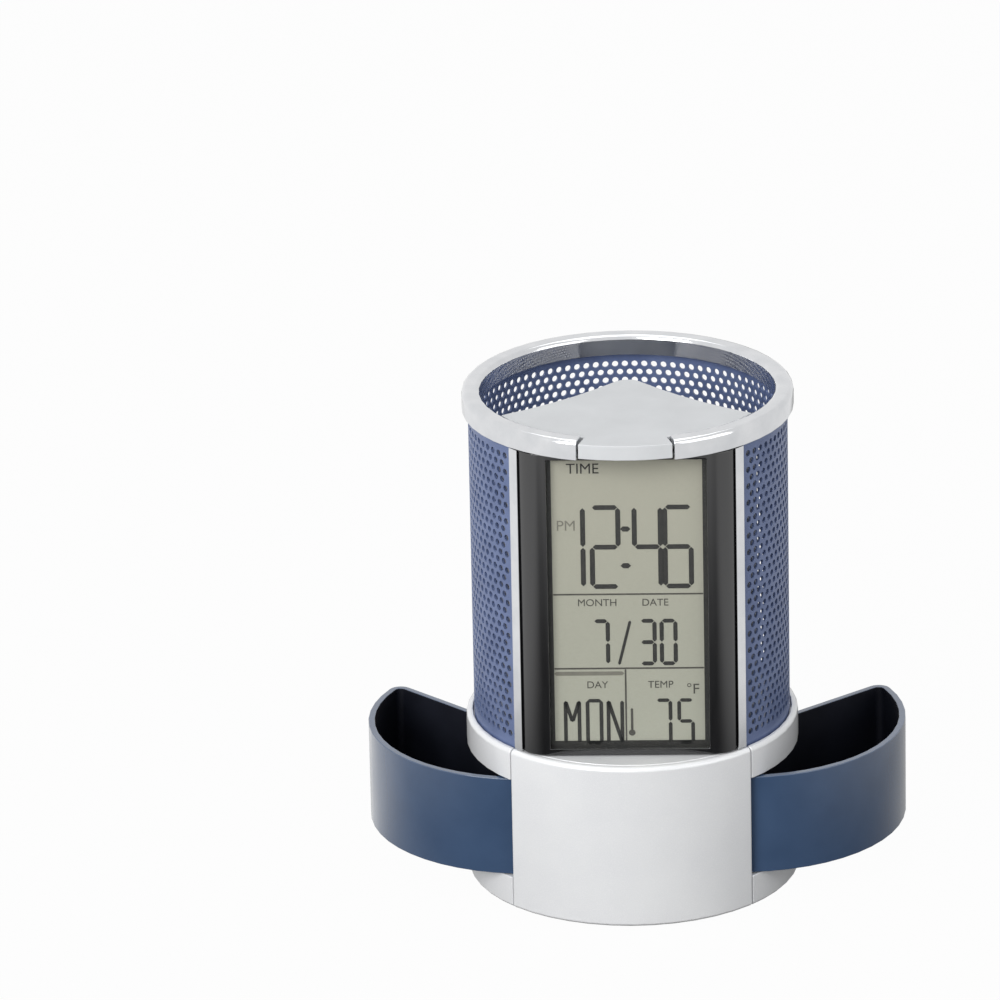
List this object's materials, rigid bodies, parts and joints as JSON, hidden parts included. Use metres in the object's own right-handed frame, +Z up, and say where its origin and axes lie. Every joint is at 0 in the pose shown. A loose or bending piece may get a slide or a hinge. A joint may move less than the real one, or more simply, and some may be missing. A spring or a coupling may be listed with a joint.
{
  "type": "digital clock pen holder",
  "caption": "Round mesh pen cup with a digital clock let into its front, standing on a drum base with curved drawers that swing out at the sides.",
  "frame": {"origin": "on the table, under the axis of the drum and the cup", "axes": "+Z up; the clock faces -Y; +X is the right-hand side seen from the front"},
  "size_m": [0.1321, 0.081, 0.1255],
  "materials": {
    "silver_plastic": "fine satin silver-white moulding",
    "grey_plastic": "pale grey satin moulding",
    "chrome_trim": "bright plated trim",
    "blue_plastic": "slate blue semi-gloss moulding",
    "blue_mesh": "perforated sheet, blue paint",
    "black_gloss": "polished black",
    "clear_lens": "clear acrylic window",
    "lcd_glass": "grey-green reflective LCD",
    "board_green": "solder-masked board",
    "white_plastic": "plain white",
    "black_rubber": "soft matt",
    "black_epoxy": "cast black",
    "key_grey": "dark grey matt",
    "steel": "bright steel",
    "contact_brass": "sprung brass sheet",
    "cell_jacket": "plain jacket without print"
  },
  "bodies": {
    "stand": {"base_plinth": "silver_plastic", "base_deck": "silver_plastic", "front_apron": "silver_plastic", "base_core": "silver_plastic", "left_pivot_pin": "steel", "right_pivot_pin": "steel", "battery_cell": "cell_jacket", "front_battery_contact": "contact_brass", "rear_battery_contact": "contact_brass", "key_board": "board_green", "ribbon_cable": "white_plastic", "bottom_cover": "silver_plastic", "rubber_foot_1": "black_rubber", "rubber_foot_2": "black_rubber", "rubber_foot_3": "black_rubber", "rubber_foot_4": "black_rubber", "base_screw_1": "steel", "base_screw_2": "steel", "base_screw_3": "steel", "base_screw_4": "steel", "mesh_sleeve": "blue_mesh", "top_ring": "chrome_trim", "left_trim": "chrome_trim", "right_trim": "chrome_trim", "clock_bezel": "black_gloss", "clock_lens": "clear_lens", "lcd_panel": "lcd_glass", "lcd_spacer": "white_plastic", "upper_contact_strip": "black_rubber", "lower_contact_strip": "black_rubber", "circuit_board": "board_green", "board_screw_1": "steel", "board_screw_2": "steel", "board_screw_3": "steel", "board_screw_4": "steel", "driver_chip": "black_epoxy", "quartz_crystal": "steel", "temperature_sensor": "black_epoxy", "alarm_buzzer": "black_gloss", "clock_housing": "grey_plastic", "snooze_switch": "black_epoxy"},
    "left_tray": {"left_drawer": "blue_plastic"},
    "right_tray": {"right_drawer": "blue_plastic"},
    "snooze_bar": {"snooze_key": "grey_plastic"},
    "lowest_key": {"setting_key_1": "key_grey"},
    "second_key": {"setting_key_2": "key_grey"},
    "third_key": {"setting_key_3": "key_grey"},
    "highest_key": {"setting_key_4": "key_grey"},
    "battery_hatch": {"battery_door": "silver_plastic"}
  },
  "joints": [
    {"name": "left_drawer_swing", "type": "hinge", "parent": "stand", "child": "left_tray", "pos_m": [-0.02816, -0.02259, 0.0216], "axis": [0, 0, 1], "range_deg": [-46.4, 3.6]},
    {"name": "right_drawer_swing", "type": "hinge", "parent": "stand", "child": "right_tray", "pos_m": [0.02816, -0.02259, 0.0216], "axis": [0, 0, -1], "range_deg": [-49.2, 0.8]},
    {"name": "snooze_press", "type": "slide", "parent": "stand", "child": "snooze_bar", "axis": [0, 0, -1], "range_m": [0, 0.0012], "stiffness_N_per_m": 900},
    {"name": "lowest_key_press", "type": "slide", "parent": "stand", "child": "lowest_key", "axis": [0, -1, 0], "range_m": [0, 0.0008], "stiffness_N_per_m": 1200},
    {"name": "second_key_press", "type": "slide", "parent": "stand", "child": "second_key", "axis": [0, -1, 0], "range_m": [0, 0.0008], "stiffness_N_per_m": 1200},
    {"name": "third_key_press", "type": "slide", "parent": "stand", "child": "third_key", "axis": [0, -1, 0], "range_m": [0, 0.0008], "stiffness_N_per_m": 1200},
    {"name": "highest_key_press", "type": "slide", "parent": "stand", "child": "highest_key", "axis": [0, -1, 0], "range_m": [0, 0.0008], "stiffness_N_per_m": 1200},
    {"name": "battery_door_lift", "type": "slide", "parent": "stand", "child": "battery_hatch", "axis": [0, 0, -1], "range_m": [0, 0.012]}
  ]
}
